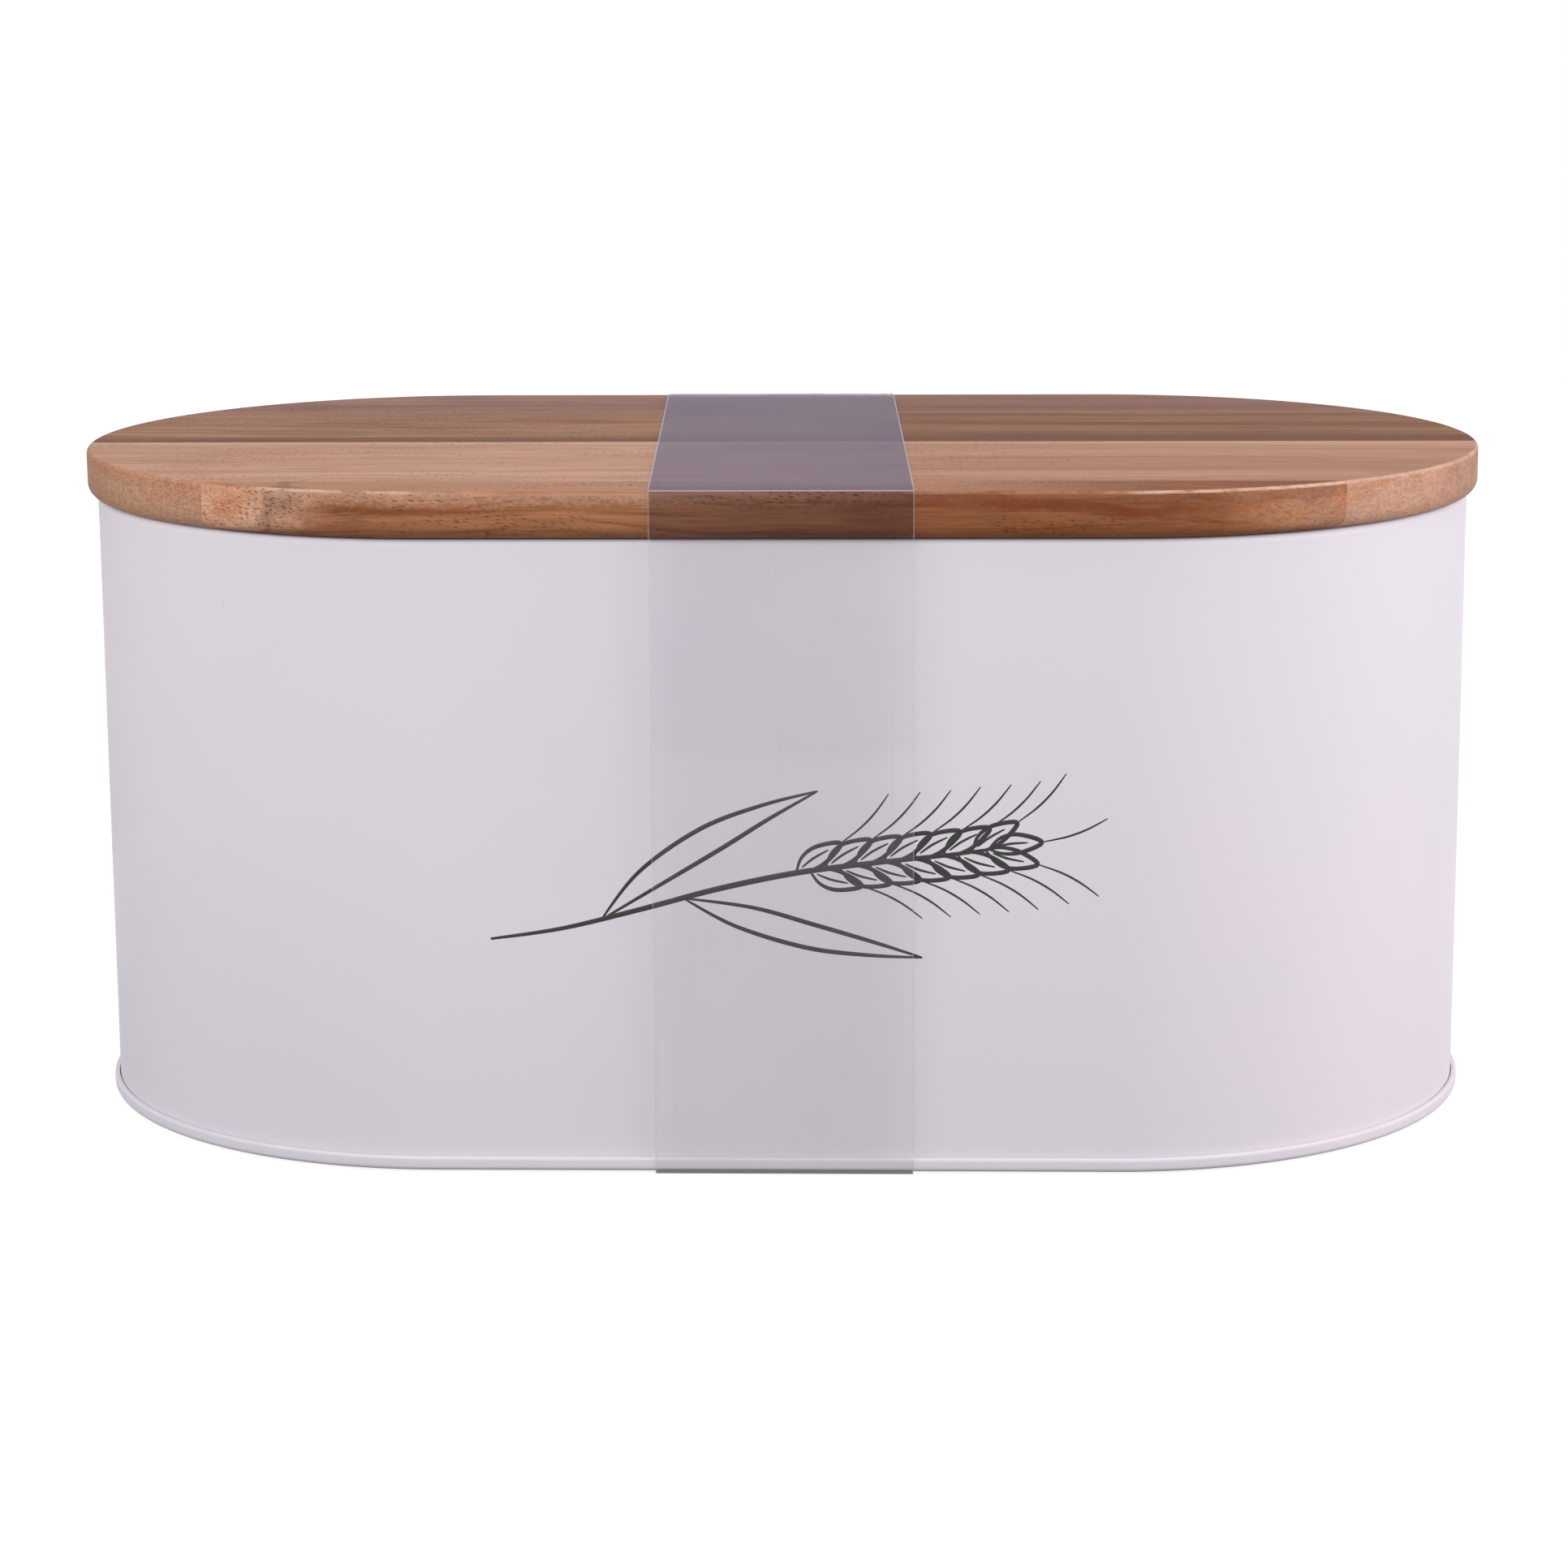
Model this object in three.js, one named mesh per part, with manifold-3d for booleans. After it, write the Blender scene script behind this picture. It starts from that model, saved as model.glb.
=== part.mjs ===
// A bread box: an oval sheet-steel box with a seamed base, and a lift-off lid of glued wooden staves
// that carries a silicone seal. A clear film band is wrapped round the middle of the closed box and is
// slit just under the lid, so that the lid lifts and both halves of the band slide off sideways.
// Millimetres, +Z up. X runs along the box and Y from its front to its back. The origin is in the
// middle of the footprint, on the underside of the film that the box stands on.
import * as THREE from "three";
import { mergeVertices } from "three/addons/utils/BufferGeometryUtils.js";
import Module from "manifold-3d";

const wasm = await Module();
wasm.setup();

// Driving dimensions.
const clearance = 0.3; // between pieces that aren't glued face to face

const box = {
  length: 334.6,
  depth: 176,
  height: 148.5, // from the underside of the base bead to the top of the rolled rim
  endSteps: 24, // facets in each round end
};

const wall = {
  thickness: 0.6,
  curlRadius: 1.8, // of the rim that is rolled inwards
  curlSteps: 8,
};

// The upright joint of the wall sheet, in the middle of the back.
const seam = {
  lapWidth: 6,
  lapThickness: 0.6,
  lineWidth: 0.4,
  lineDepth: 0.2,
};

// The base is a pan whose edge is a channel: the wall stands in it, and its outer leg is the bead.
const base = {
  beadProud: 1.4, // how far the bead stands out of the wall
  beadHeight: 3.3,
  beadRound: 0.8,
  roundSteps: 3,
  channelFloor: 0.8,
  innerLeg: 1,
  panelThickness: 0.8,
};

const lid = {
  lip: 11, // the thickness that shows
  plugDepth: 7, // what reaches down inside the rim
  plugGap: 1.2, // between the plug and the rim
  plugChamfer: 1,
  overhang: 2.4, // past the wall
  topRound: 1,
  bottomRound: 3,
  roundSteps: 4,
};

// Where the glue joints lie, from front to back, as shares of half the lid's depth.
const glueJointShares = [-0.821, -0.061, 0.552];

const seal = {
  height: 2,
  grooveDepth: 2,
  drop: 2.2, // from the lid's underside to the middle of the seal
  noseSteps: 6,
};

const film = {
  thickness: 0.3,
  width: 60,
  bend: 1, // inner radius where the film turns a corner
  bendSteps: 3,
  slit: 0.3, // between the two halves of the band
  skewShare: 0.028, // how far the band runs to the left for its way to the back
};

// Heights and places that follow from them.
const seat = film.thickness + clearance; // underside of the bead
const rimTop = seat + box.height;
const lidUnder = rimTop + clearance;
const lidTop = lidUnder + lid.lip;
const halfDepth = box.depth / 2;
const halfStraight = (box.length - box.depth) / 2;
const lidHalfDepth = halfDepth + lid.overhang;
const lidHalfLength = box.length / 2 + lid.overhang;
const plugInset = 2 * wall.curlRadius + lid.plugGap;

// One loop round the box, `inset` inside the wall's outer face, anticlockwise seen from above.
function loop([inset, z]) {
  const radius = halfDepth - inset;
  const points = [];
  for (const side of [1, -1]) {
    for (let i = 0; i <= box.endSteps; i++) {
      const angle = Math.PI * (i / box.endSteps - 1 / 2);
      points.push(
        side * (halfStraight + radius * Math.cos(angle)),
        side * radius * Math.sin(angle),
        z,
      );
    }
  }
  return points;
}

// A piece that runs all round the box. Its profile is a list of [inset, z]: up the outside and down the
// inside for a ring, or from the middle below, round the outside, to the middle above for a solid piece.
function runRound(profile, isRing) {
  const loops = profile.map(loop);
  const perLoop = loops[0].length / 3;
  const positions = loops.flat();
  const index = [];
  const bands = isRing ? loops.length : loops.length - 1;
  for (let k = 0; k < bands; k++) {
    const low = k * perLoop;
    const high = ((k + 1) % loops.length) * perLoop;
    for (let i = 0; i < perLoop; i++) {
      const j = (i + 1) % perLoop;
      index.push(low + i, low + j, high + j, low + i, high + j, high + i);
    }
  }
  if (!isRing) {
    const middle = positions.length / 3;
    const last = (loops.length - 1) * perLoop;
    positions.push(0, 0, profile[0][1], 0, 0, profile[profile.length - 1][1]);
    for (let i = 0; i < perLoop; i++) {
      const j = (i + 1) % perLoop;
      index.push(middle, j, i, middle + 1, last + i, last + j);
    }
  }
  const geometry = new THREE.BufferGeometry();
  geometry.setAttribute("position", new THREE.Float32BufferAttribute(positions, 3));
  geometry.setIndex(index);
  return geometry;
}

// Points on an arc of a profile, in degrees: 180 points out of the box, 90 points up.
function arc(inset, z, radius, from, to, steps) {
  const points = [];
  for (let i = 0; i <= steps; i++) {
    const angle = THREE.MathUtils.degToRad(from + ((to - from) * i) / steps);
    points.push([inset + radius * Math.cos(angle), z + radius * Math.sin(angle)]);
  }
  return points;
}

function toSolid(geometry) {
  const bare = geometry.clone();
  bare.deleteAttribute("normal");
  bare.deleteAttribute("uv");
  const merged = mergeVertices(bare);
  return new wasm.Manifold(
    new wasm.Mesh({
      numProp: 3,
      vertProperties: merged.attributes.position.array,
      triVerts: new Uint32Array(merged.index.array),
    }),
  );
}

function toGeometry(solid) {
  const mesh = solid.getMesh();
  const geometry = new THREE.BufferGeometry();
  geometry.setAttribute("position", new THREE.BufferAttribute(mesh.vertProperties, 3));
  geometry.setIndex(new THREE.BufferAttribute(mesh.triVerts, 1));
  geometry.computeVertexNormals();
  return geometry;
}

// A block between two corners, as a solid for cuts and joins.
function block(low, high) {
  const size = new THREE.Vector3().subVectors(high, low);
  const geometry = new THREE.BoxGeometry(size.x, size.y, size.z);
  geometry.translate(low.x + size.x / 2, low.y + size.y / 2, low.z + size.z / 2);
  return toSolid(geometry);
}

// The wall: one sheet bent round, with its top edge rolled inwards and its lower edge in the base's channel.
function wallSheet() {
  const foot = seat + base.channelFloor + clearance;
  const curlMiddle = rimTop - wall.curlRadius;
  const outer = arc(wall.curlRadius, curlMiddle, wall.curlRadius, 180, -60, wall.curlSteps);
  const inner = arc(
    wall.curlRadius,
    curlMiddle,
    wall.curlRadius - wall.thickness,
    -60,
    180,
    wall.curlSteps,
  );
  const sheet = toSolid(
    runRound([[0, foot], ...outer, ...inner, [wall.thickness, foot]], true),
  );

  const insideFace = halfDepth - wall.thickness;
  const lap = block(
    new THREE.Vector3(
      -seam.lapWidth / 2,
      insideFace - seam.lapThickness,
      seat + base.beadHeight + clearance,
    ),
    new THREE.Vector3(
      seam.lapWidth / 2,
      insideFace + wall.thickness / 2,
      rimTop - 2 * wall.curlRadius - clearance,
    ),
  );
  const line = block(
    new THREE.Vector3(seam.lapWidth / 2 - seam.lineWidth, halfDepth - seam.lineDepth, 0),
    new THREE.Vector3(seam.lapWidth / 2, halfDepth + clearance, curlMiddle),
  );
  return toGeometry(sheet.add(lap).subtract(line));
}

function basePan() {
  const top = seat + base.beadHeight;
  const innerLegFace = wall.thickness + clearance;
  const panelUnder = top - base.panelThickness;
  const round = base.beadRound;
  const outside = round - base.beadProud;
  return runRound(
    [
      [innerLegFace + base.innerLeg, panelUnder],
      [innerLegFace + base.innerLeg, seat],
      ...arc(outside, seat + round, round, 270, 180, base.roundSteps),
      ...arc(outside, top - round, round, 180, 90, base.roundSteps),
      [-clearance, top],
      [-clearance, seat + base.channelFloor],
      [innerLegFace, seat + base.channelFloor],
      [innerLegFace, top],
    ],
    false,
  );
}

// The whole lid as one solid, before it is divided into its staves.
function lidBoard() {
  const foot = lidUnder - lid.plugDepth;
  const grooveBottom = plugInset + seal.grooveDepth;
  const grooveLow = lidUnder - seal.drop - seal.height / 2 - clearance;
  const grooveHigh = grooveLow + seal.height + 2 * clearance;
  const bottomMiddle = lid.bottomRound - lid.overhang;
  const topMiddle = lid.topRound - lid.overhang;
  return toSolid(
    runRound(
      [
        [plugInset + lid.plugChamfer, foot],
        [plugInset, foot + lid.plugChamfer],
        [plugInset, grooveLow],
        [grooveBottom, grooveLow],
        [grooveBottom, grooveHigh],
        [plugInset, grooveHigh],
        [plugInset, lidUnder],
        ...arc(bottomMiddle, lidUnder + lid.bottomRound, lid.bottomRound, 270, 180, lid.roundSteps),
        ...arc(topMiddle, lidTop - lid.topRound, lid.topRound, 180, 90, lid.roundSteps),
      ],
      false,
    ),
  );
}

// The staves, from front to back: what lies of the board between one glue joint and the next.
function lidStaves() {
  const board = lidBoard();
  const cuts = [
    -lidHalfDepth - clearance,
    ...glueJointShares.map((share) => share * lidHalfDepth),
    lidHalfDepth + clearance,
  ];
  const reach = lidHalfLength + clearance;
  return cuts.slice(1).map((back, i) => {
    const slab = block(
      new THREE.Vector3(-reach, cuts[i], 0),
      new THREE.Vector3(reach, back, lidTop + clearance),
    );
    return toGeometry(board.intersect(slab));
  });
}

// The seal: a flat back that sits in the plug's groove, and a round nose that faces the rim.
function sealRing() {
  const middle = lidUnder - seal.drop;
  const radius = seal.height / 2;
  const noseMiddle = 2 * wall.curlRadius + clearance + radius;
  const back = plugInset + seal.grooveDepth - clearance;
  return runRound(
    [
      [back, middle - radius],
      ...arc(noseMiddle, middle, radius, 270, 90, seal.noseSteps),
      [back, middle + radius],
    ],
    true,
  );
}

// A strip of film whose outline is drawn from the side, as [y, z], and which runs along X for its width.
function filmStrip(outline) {
  const geometry = new THREE.ExtrudeGeometry(outline, {
    depth: film.width,
    bevelEnabled: false,
    curveSegments: film.bendSteps,
  });
  geometry.translate(0, 0, -film.width / 2);
  geometry.applyMatrix4(
    new THREE.Matrix4().makeBasis(
      new THREE.Vector3(0, 1, 0),
      new THREE.Vector3(0, 0, 1),
      new THREE.Vector3(1, 0, 0),
    ),
  );
  geometry.applyMatrix4(new THREE.Matrix4().makeShear(0, 0, -film.skewShare, 0, 0, 0));
  return geometry;
}

// Over the lid and down both of its edges.
function upperBand() {
  const end = lidUnder + film.slit / 2;
  const inside = lidHalfDepth + clearance;
  const outside = inside + film.thickness;
  const under = lidTop + clearance;
  const over = under + film.thickness;
  const bendY = inside - film.bend;
  const bendZ = under - film.bend;
  const outerBend = film.bend + film.thickness;
  const outline = new THREE.Shape();
  outline.moveTo(outside, end);
  outline.absarc(bendY, bendZ, outerBend, 0, Math.PI / 2, false);
  outline.lineTo(-bendY, over);
  outline.absarc(-bendY, bendZ, outerBend, Math.PI / 2, Math.PI, false);
  outline.lineTo(-outside, end);
  outline.lineTo(-inside, end);
  outline.absarc(-bendY, bendZ, film.bend, Math.PI, Math.PI / 2, true);
  outline.lineTo(bendY, under);
  outline.absarc(bendY, bendZ, film.bend, Math.PI / 2, 0, true);
  outline.lineTo(inside, end);
  outline.closePath();
  return filmStrip(outline);
}

// Down the front from under the lid's edge, below the bead and up the back.
function lowerBand() {
  const end = lidUnder - film.slit / 2;
  const topInside = lidHalfDepth + clearance;
  const inside = halfDepth + base.beadProud + clearance;
  const bendY = inside - film.bend;
  const bendZ = film.bend + film.thickness;
  const outerBend = film.bend + film.thickness;
  const outline = new THREE.Shape();
  outline.moveTo(-topInside - film.thickness, end);
  outline.absarc(-bendY, bendZ, outerBend, Math.PI, 1.5 * Math.PI, false);
  outline.lineTo(bendY, 0);
  outline.absarc(bendY, bendZ, outerBend, 1.5 * Math.PI, 2 * Math.PI, false);
  outline.lineTo(topInside + film.thickness, end);
  outline.lineTo(topInside, end);
  outline.absarc(bendY, bendZ, film.bend, 0, -Math.PI / 2, true);
  outline.lineTo(-bendY, film.thickness);
  outline.absarc(-bendY, bendZ, film.bend, -Math.PI / 2, -Math.PI, true);
  outline.lineTo(-topInside, end);
  outline.closePath();
  return filmStrip(outline);
}

function finish(color, roughness, extra = {}) {
  return new THREE.MeshStandardMaterial({ color, roughness, metalness: 0, ...extra });
}

function piece(name, geometry, material) {
  const mesh = new THREE.Mesh(geometry, material);
  mesh.name = name;
  return mesh;
}

const whiteCoat = { color: "#e2dce2", roughness: 0.4 };
const staveColors = ["#b0744f", "#c09a84", "#8d6e58", "#96746a"];
const clearFilm = { transparent: true, opacity: 0.3 };

const boxGroup = new THREE.Group();
boxGroup.add(
  piece("body_wall", wallSheet(), finish(whiteCoat.color, whiteCoat.roughness)),
  piece("base_pan", basePan(), finish(whiteCoat.color, whiteCoat.roughness)),
  piece("band_lower", lowerBand(), finish("#cfc9d2", 0.2, clearFilm)),
);

const lidGroup = new THREE.Group();
lidStaves().forEach((stave, i) => {
  lidGroup.add(piece(`lid_stave_${i + 1}`, stave, finish(staveColors[i], 0.55)));
});
lidGroup.add(
  piece("lid_seal", sealRing(), finish("#d8d6d2", 0.6)),
  piece("band_upper", upperBand(), finish("#cfc9d2", 0.2, clearFilm)),
);

const breadBox = new THREE.Group();
breadBox.add(boxGroup, lidGroup);

export default breadBox;
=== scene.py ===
import math

import bpy
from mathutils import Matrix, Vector


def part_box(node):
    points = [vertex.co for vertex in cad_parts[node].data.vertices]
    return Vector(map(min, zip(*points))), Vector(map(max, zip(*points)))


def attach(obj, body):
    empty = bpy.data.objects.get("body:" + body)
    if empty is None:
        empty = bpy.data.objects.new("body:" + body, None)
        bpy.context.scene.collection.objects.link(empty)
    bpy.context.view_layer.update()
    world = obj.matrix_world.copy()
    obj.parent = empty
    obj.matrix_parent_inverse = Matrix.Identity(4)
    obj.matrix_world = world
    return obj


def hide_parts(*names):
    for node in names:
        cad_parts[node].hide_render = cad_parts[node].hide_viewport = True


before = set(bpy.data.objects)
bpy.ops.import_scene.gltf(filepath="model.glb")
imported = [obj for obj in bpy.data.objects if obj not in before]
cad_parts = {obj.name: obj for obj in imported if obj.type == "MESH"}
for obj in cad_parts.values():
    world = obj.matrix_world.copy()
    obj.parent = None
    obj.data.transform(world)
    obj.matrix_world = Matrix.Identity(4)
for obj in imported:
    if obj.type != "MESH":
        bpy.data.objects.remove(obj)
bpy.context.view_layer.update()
mm = 0.001
scene = bpy.context.scene
scene.view_settings.view_transform = "Standard"
print("bread box: frame loaded")


# places that every piece shares, read off the CAD
wallLow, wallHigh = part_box("body_wall")
panLow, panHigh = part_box("base_pan")
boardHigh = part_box("lid_stave_2")[1]
wallDepth = wallHigh.y  # half of the box's depth, and the radius of its round ends
endMiddle = wallHigh.x - wallDepth  # where the round ends have their middle
rimTop = wallHigh.z
lidUnder = rimTop + 0.3 * mm  # the lid's board stands just clear of the rim
lidTop = boardHigh.z
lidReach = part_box("lid_stave_4")[1].y
beadFoot = panLow.z


# small helpers for working in and out of edit mode
def deselectAll():
    bpy.ops.object.select_all(action="DESELECT")


def workOn(obj):
    deselectAll()
    obj.select_set(True)
    bpy.context.view_layer.objects.active = obj


def pickVerts(obj, isWanted):
    # leaves edit mode with only the wanted vertices picked
    bpy.ops.object.mode_set(mode="EDIT")
    bpy.ops.mesh.select_mode(type="VERT")
    bpy.ops.mesh.select_all(action="DESELECT")
    bpy.ops.object.mode_set(mode="OBJECT")
    for vertex in obj.data.vertices:
        vertex.select = isWanted(vertex.co)
    bpy.ops.object.mode_set(mode="EDIT")


def applyModifiers(obj):
    workOn(obj)
    for modifier in list(obj.modifiers):
        bpy.ops.object.modifier_apply(modifier=modifier.name)


def cleanMesh(obj, merge=0.002 * mm):
    workOn(obj)
    bpy.ops.object.mode_set(mode="EDIT")
    bpy.ops.mesh.select_all(action="SELECT")
    bpy.ops.mesh.remove_doubles(threshold=merge)
    bpy.ops.mesh.normals_make_consistent(inside=False)
    bpy.ops.object.mode_set(mode="OBJECT")


def smoothShade(obj, angle=32):
    workOn(obj)
    bpy.ops.object.shade_smooth_by_angle(angle=math.radians(angle))


def fixPlace(obj):
    workOn(obj)
    bpy.ops.object.transform_apply(location=True, rotation=True, scale=True)


def arcPoints(radius, middle, bend, start, end, steps):
    # part of a circle in a profile, as (distance from the end's middle, height)
    points = []
    for i in range(steps + 1):
        angle = math.radians(start + (end - start) * i / steps)
        points.append((radius + bend * math.cos(angle), middle + bend * math.sin(angle)))
    return points


def drawLine(name, points):
    # one vertex, extruded from point to point
    deselectAll()
    bpy.ops.mesh.primitive_plane_add(size=mm, location=(0, 0, 0))
    obj = bpy.context.object
    obj.name = name
    obj.data.name = name
    bpy.ops.object.mode_set(mode="EDIT")
    bpy.ops.mesh.select_mode(type="VERT")
    bpy.ops.mesh.select_all(action="SELECT")
    bpy.ops.mesh.merge(type="CENTER")
    bpy.ops.transform.translate(value=points[0])
    for last, following in zip(points, points[1:]):
        step = [b - a for a, b in zip(last, following)]
        bpy.ops.mesh.extrude_region_move(TRANSFORM_OT_translate={"value": step})
    bpy.ops.object.mode_set(mode="OBJECT")
    return obj


def sweepRound(name, profile, steps):
    # a profile of (distance, height) taken round one end, drawn out to the middle and mirrored
    obj = drawLine(name, [(endMiddle, -away, height) for away, height in profile])
    bpy.ops.object.mode_set(mode="EDIT")
    bpy.ops.mesh.select_all(action="SELECT")
    bpy.ops.mesh.spin(
        steps=steps, angle=-math.pi, center=(endMiddle, 0, 0), axis=(0, 0, 1)
    )
    pickVerts(obj, lambda co: abs(co.x - endMiddle) < 0.001 * mm)
    bpy.ops.mesh.extrude_region_move(TRANSFORM_OT_translate={"value": (-endMiddle, 0, 0)})
    bpy.ops.object.mode_set(mode="OBJECT")
    mirror = obj.modifiers.new("otherEnd", "MIRROR")
    mirror.use_axis = (True, False, False)
    mirror.merge_threshold = 0.002 * mm
    applyModifiers(obj)
    cleanMesh(obj)
    return obj


# node helpers
def plug(tree, source, target):
    # an output is linked, a plain value is set
    if hasattr(source, "is_output"):
        tree.links.new(source, target)
    else:
        target.default_value = source


def addNode(tree, kind, *given, **settings):
    made = tree.nodes.new(kind)
    count = len(tree.nodes) - 1
    made.location = (count // 8 * 220, -(count % 8) * 190)  # in columns, in the order they are made
    for key, value in settings.items():
        setattr(made, key, value)
    for value, socket in zip(given, made.inputs):
        plug(tree, value, socket)
    return made


def mathNode(tree, operation, *values, clamp=False):
    return addNode(tree, "ShaderNodeMath", *values, operation=operation, use_clamp=clamp).outputs[0]


def vectorNode(tree, operation, *values):
    return addNode(tree, "ShaderNodeVectorMath", *values, operation=operation).outputs[0]


def timesNode(tree, first, *others):
    for other in others:
        first = mathNode(tree, "MULTIPLY", first, other)
    return first


def swayNode(tree, noise, amount, base):
    # base, moved to either side by the noise
    return mathNode(tree, "MULTIPLY_ADD", mathNode(tree, "SUBTRACT", noise, 0.5), amount, base)


def awayNode(tree, value, spot):
    return mathNode(tree, "ABSOLUTE", mathNode(tree, "SUBTRACT", value, spot))


def splitNode(tree, vector):
    return addNode(tree, "ShaderNodeSeparateXYZ", vector).outputs


def combineNode(tree, x, y, z):
    return addNode(tree, "ShaderNodeCombineXYZ", x, y, z).outputs[0]


def rangeNode(tree, value, low, high, toLow=0.0, toHigh=1.0, smooth=True):
    shape = "SMOOTHSTEP" if smooth else "LINEAR"
    made = addNode(tree, "ShaderNodeMapRange", clamp=True, interpolation_type=shape)
    for key, item in (("Value", value), ("From Min", low), ("From Max", high),
                      ("To Min", toLow), ("To Max", toHigh)):
        plug(tree, item, made.inputs[key])
    return made.outputs["Result"]


def blendNode(tree, share, first, second, how="MIX"):
    made = addNode(tree, "ShaderNodeMix", data_type="RGBA", blend_type=how, clamp_factor=True)
    for number, item in ((0, share), (6, first), (7, second)):
        plug(tree, item, made.inputs[number])
    return made.outputs[2]


def layTone(tree, colour, tone, *masks):
    # a tone over a colour, as strong as the masks multiplied
    return blendNode(tree, timesNode(tree, *masks), colour, tone)


def shadeNode(tree, colour, factor):
    return blendNode(tree, 1.0, colour, combineNode(tree, factor, factor, factor), "MULTIPLY")


def noiseNode(tree, vector, scale, detail=2.0, rough=0.5, distortion=0.0, output="Fac"):
    if isinstance(scale, tuple):  # one scale along, one across and one through
        vector, scale = vectorNode(tree, "MULTIPLY", vector, scale), 1.0
    made = addNode(tree, "ShaderNodeTexNoise")
    for key, item in (("Vector", vector), ("Scale", scale), ("Detail", detail),
                      ("Roughness", rough), ("Distortion", distortion)):
        plug(tree, item, made.inputs[key])
    return made.outputs[output]


def cellNode(tree, vector, scale):
    made = addNode(tree, "ShaderNodeTexVoronoi")
    plug(tree, vector, made.inputs["Vector"])
    made.inputs["Scale"].default_value = scale
    return made.outputs


def newGroup(name, inputs, outputs):
    group = bpy.data.node_groups.new(name, "ShaderNodeTree")
    for label, value in inputs.items():
        kind = "NodeSocketColor" if isinstance(value, tuple) else "NodeSocketFloat"
        socket = group.interface.new_socket(name=label, in_out="INPUT", socket_type=kind)
        socket.default_value = value
    for label in outputs:
        kind = "NodeSocketColor" if label == "Color" else "NodeSocketFloat"
        group.interface.new_socket(name=label, in_out="OUTPUT", socket_type=kind)
    return group, addNode(group, "NodeGroupInput").outputs, addNode(group, "NodeGroupOutput").inputs


def srgb(red, green, blue):
    # a colour given from 0 to 255, as the linear colour that a socket takes
    linear = []
    for part in (red, green, blue):
        part /= 255
        linear.append(part / 12.92 if part <= 0.04045 else ((part + 0.055) / 1.055) ** 2.4)
    return (*linear, 1.0)


# wood figure, shared by the four staves
woodGrain = {  # how often each pattern repeats in a metre: along, across and through the board
    "wander": (6.0, 14.0, 14.0),
    "veins": (8.0, 3.4, 1.0),  # on top of the layers' own
    "fibres": (60.0, 1500.0, 1500.0),
    "threads": (22.0, 620.0, 620.0),
    "patches": (24.0, 40.0, 60.0),
    "sanding": (280.0, 280.0, 1900.0),
    "blushes": (70.0, 70.0, 110.0),
    "smudges": (110.0, 110.0, 60.0),
    "waves": (45.0, 200.0, 200.0),
    "frayed": (150.0, 150.0, 500.0),
    "torn": (900.0, 900.0, 1500.0),
    "pores": (470.0, 1300.0, 2500.0),
    "poreZones": (26.0, 90.0, 120.0),
}
woodMarks = {  # between which two places on the box each mark comes or goes
    "drift": (-25 * mm, 40 * mm),
    "paleTop": (100 * mm, 20 * mm),
    "otherEnd": (-20 * mm, 20 * mm),
    "tipShade": (148 * mm, 168 * mm),
    "blushHigh": (156.5 * mm, 159 * mm),
    "blushLeft": (-108 * mm, -122 * mm),
    "lowerEdgeShade": (155.5 * mm, 151 * mm),
    "flameStart": (25 * mm, 36 * mm),
    "flameEnd": (108 * mm, 80 * mm),
    "shadeHigh": (155.8 * mm, 158 * mm),
    "arrisBright": (60 * mm, 95 * mm),
    "arrisLeft": (-124 * mm, -112 * mm),
    "tornLeft": (-10 * mm, -30 * mm),
    "tornRight": (20 * mm, 35 * mm),
    "fewPores": (60 * mm, 100 * mm),
}


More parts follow.
